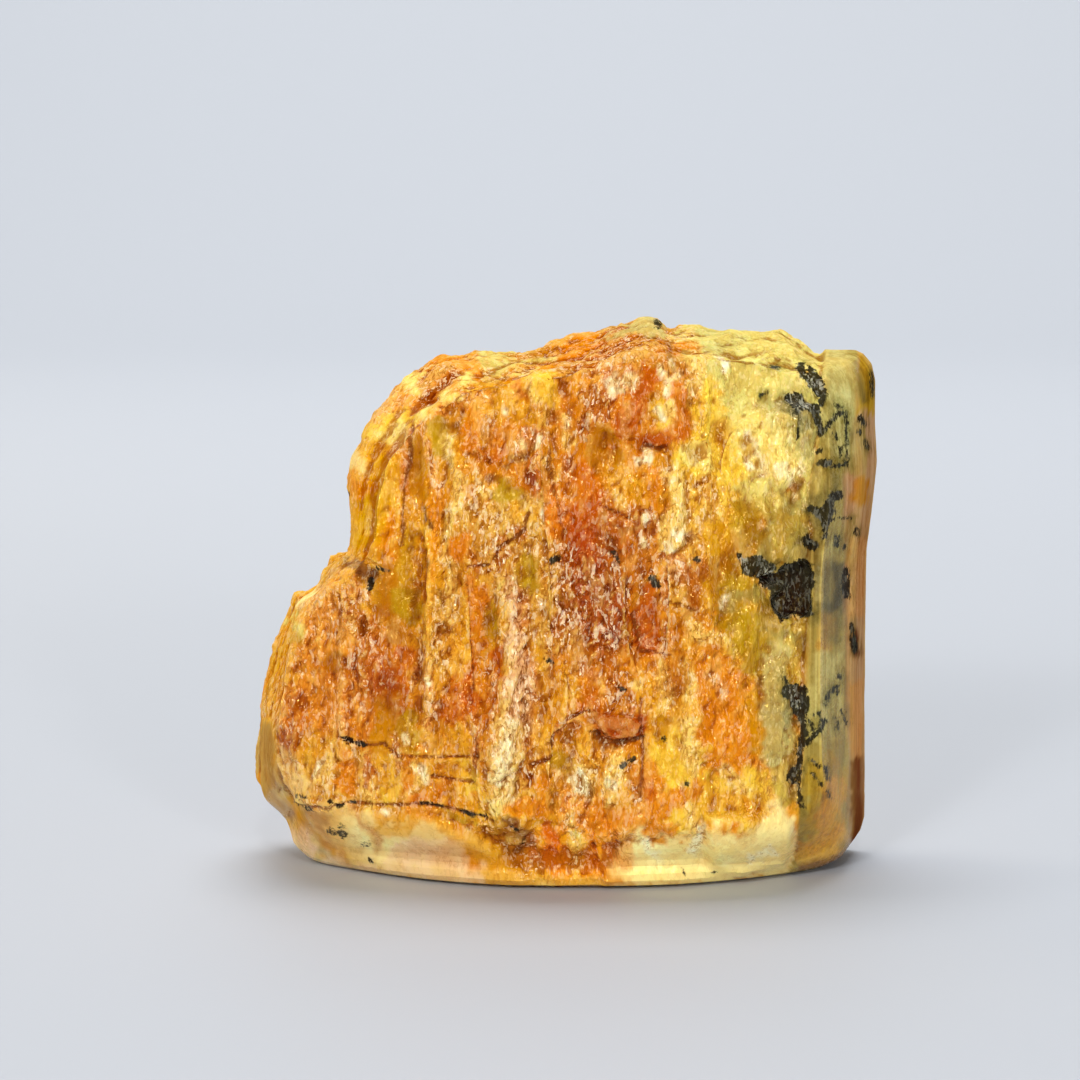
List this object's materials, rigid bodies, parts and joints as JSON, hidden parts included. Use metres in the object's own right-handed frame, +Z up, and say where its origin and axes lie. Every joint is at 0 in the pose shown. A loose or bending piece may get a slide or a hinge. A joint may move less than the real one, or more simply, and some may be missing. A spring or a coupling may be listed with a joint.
{
  "type": "raw beryl crystal",
  "caption": "Raw beryl: a broken upright piece of a hexagonal crystal with a rough ribbed front, smooth prism faces at one end and a flat cleaved base to stand on.",
  "frame": {"origin": "middle of the bounding box's underside, in the plane of the flat base", "axes": "+Z up along the crystal's long axis, the rough ribbed front faces -Y, +X runs across the width towards the smooth prism faces"},
  "size_m": [0.043, 0.0244, 0.0374],
  "materials": {
    "beryl": "translucent golden beryl, glassy on the fractures, stained orange by iron, with pale crust and black mineral specks"
  },
  "bodies": {
    "root": {"raw_beryl": "beryl"}
  },
  "joints": []
}
